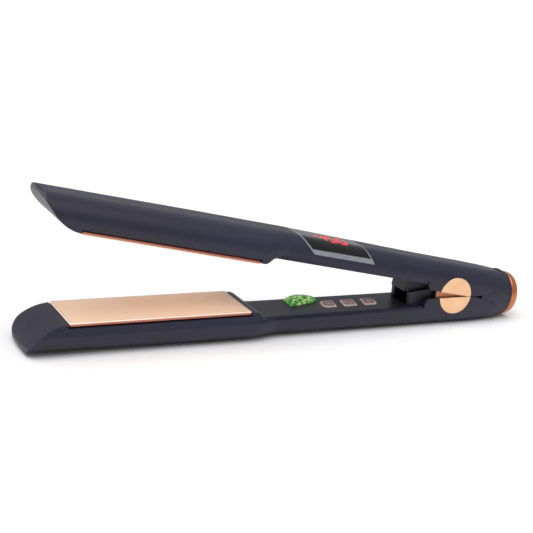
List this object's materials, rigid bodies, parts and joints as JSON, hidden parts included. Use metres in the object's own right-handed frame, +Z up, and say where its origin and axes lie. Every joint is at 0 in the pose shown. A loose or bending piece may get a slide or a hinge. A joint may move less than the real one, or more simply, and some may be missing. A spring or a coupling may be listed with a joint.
{
  "type": "hair straightener",
  "caption": "Hair straightener with two hinged arms, floating rose-gold plates, three keys, a wrap-over display and a swivelling cord outlet; cord left out.",
  "frame": {"origin": "on the surface the lower arm lies on, straight under the hinge pin", "axes": "+Z up; -X towards the plates' tips; +X towards the cord outlet; +Y towards the back of the object, across the arms"},
  "size_m": [0.3078, 0.042, 0.0861],
  "materials": {
    "soft_touch_housing": "satin",
    "steel": "satin",
    "rose_gold_plate": "satin",
    "rose_gold_trim": "satin",
    "copper_ring": "gloss",
    "heater_foil": "satin",
    "mica": "satin",
    "heat_proof_plastic": "matte",
    "black_nylon": "matte",
    "silicone": "matte",
    "tinned_metal": "satin",
    "circuit_board": "satin",
    "capacitor_yellow": "gloss",
    "led_green": "gloss",
    "green_lens": "gloss",
    "chrome_frame": "gloss",
    "display_black": "gloss",
    "display_red": "satin",
    "button_metal": "satin"
  },
  "bodies": {
    "lower_arm": {"lower_outer_shell": "soft_touch_housing", "lower_inner_cover": "soft_touch_housing", "lower_cover_screws": "steel", "lower_bracket_screws": "steel", "lower_cap_front": "rose_gold_trim", "lower_cap_back": "rose_gold_trim", "lower_cushion_tray": "heat_proof_plastic", "lower_hinge_bracket": "black_nylon", "control_board": "circuit_board", "button_switches": "black_nylon", "status_lens": "green_lens", "status_led": "led_green", "triac": "black_nylon", "filter_capacitor": "capacitor_yellow", "hinge_pin": "steel", "thrust_washers": "black_nylon", "torsion_spring": "steel"},
    "upper_arm": {"upper_outer_shell": "soft_touch_housing", "upper_inner_cover": "soft_touch_housing", "upper_cover_screws": "steel", "upper_bracket_screws": "steel", "upper_cap_front": "rose_gold_trim", "upper_cap_back": "rose_gold_trim", "upper_cushion_tray": "heat_proof_plastic", "upper_hinge_bracket": "black_nylon", "display_frame": "chrome_frame", "display_glass": "display_black", "display_module": "display_red", "display_board": "circuit_board"},
    "hub": {"hub_barrel": "soft_touch_housing", "hub_disc_front": "rose_gold_trim", "hub_disc_back": "rose_gold_trim", "rear_ring": "copper_ring"},
    "cord_outlet": {"cord_swivel": "black_nylon"},
    "lower_plate_unit": {"lower_plate": "rose_gold_plate", "lower_heater": "heater_foil", "lower_mica_sheet": "mica", "lower_plate_carrier": "heat_proof_plastic", "lower_carrier_screws": "steel", "lower_cushions": "silicone", "lower_thermal_fuse": "tinned_metal", "lower_thermistor": "tinned_metal"},
    "upper_plate_unit": {"upper_plate": "rose_gold_plate", "upper_heater": "heater_foil", "upper_mica_sheet": "mica", "upper_plate_carrier": "heat_proof_plastic", "upper_carrier_screws": "steel", "upper_cushions": "silicone", "upper_thermal_fuse": "tinned_metal", "upper_thermistor": "tinned_metal"},
    "minus_key": {"minus_button": "button_metal"},
    "power_key": {"power_button": "button_metal"},
    "plus_key": {"plus_button": "button_metal"}
  },
  "joints": [
    {"name": "arm_hinge", "type": "hinge", "parent": "lower_arm", "child": "upper_arm", "pos_m": [0, 0, 0.0186], "axis": [0, -1, 0], "range_deg": [0, 11.3], "stiffness_Nm_per_rad": 1.9, "springref_deg": -18.11},
    {"name": "hub_hinge", "type": "hinge", "parent": "lower_arm", "child": "hub", "pos_m": [0, 0, 0.0186], "axis": [0, -1, 0], "range_deg": [0, 5.65]},
    {"name": "cord_turn", "type": "hinge", "parent": "hub", "child": "cord_outlet", "pos_m": [0.04801, 0, 0.01325], "axis": [0.9951, 0, -0.0985], "continuous": true},
    {"name": "lower_plate_float", "type": "slide", "parent": "lower_arm", "child": "lower_plate_unit", "axis": [0, 0, -1], "range_m": [0, 0.0008], "stiffness_N_per_m": 4000, "springref_m": -0.001},
    {"name": "upper_plate_float", "type": "slide", "parent": "upper_arm", "child": "upper_plate_unit", "axis": [0.1959, 0, 0.9806], "range_m": [0, 0.0008], "stiffness_N_per_m": 4000, "springref_m": -0.001},
    {"name": "minus_press", "type": "slide", "parent": "lower_arm", "child": "minus_key", "axis": [0, 0, -1], "range_m": [0, 0.0005], "stiffness_N_per_m": 1500, "springref_m": -0.0006},
    {"name": "power_press", "type": "slide", "parent": "lower_arm", "child": "power_key", "axis": [0, 0, -1], "range_m": [0, 0.0005], "stiffness_N_per_m": 1500, "springref_m": -0.0006},
    {"name": "plus_press", "type": "slide", "parent": "lower_arm", "child": "plus_key", "axis": [0, 0, -1], "range_m": [0, 0.0005], "stiffness_N_per_m": 1500, "springref_m": -0.0006}
  ],
  "couplings": [
    {"joint": "hub_hinge", "follows": "arm_hinge", "ratio": 0.5}
  ]
}
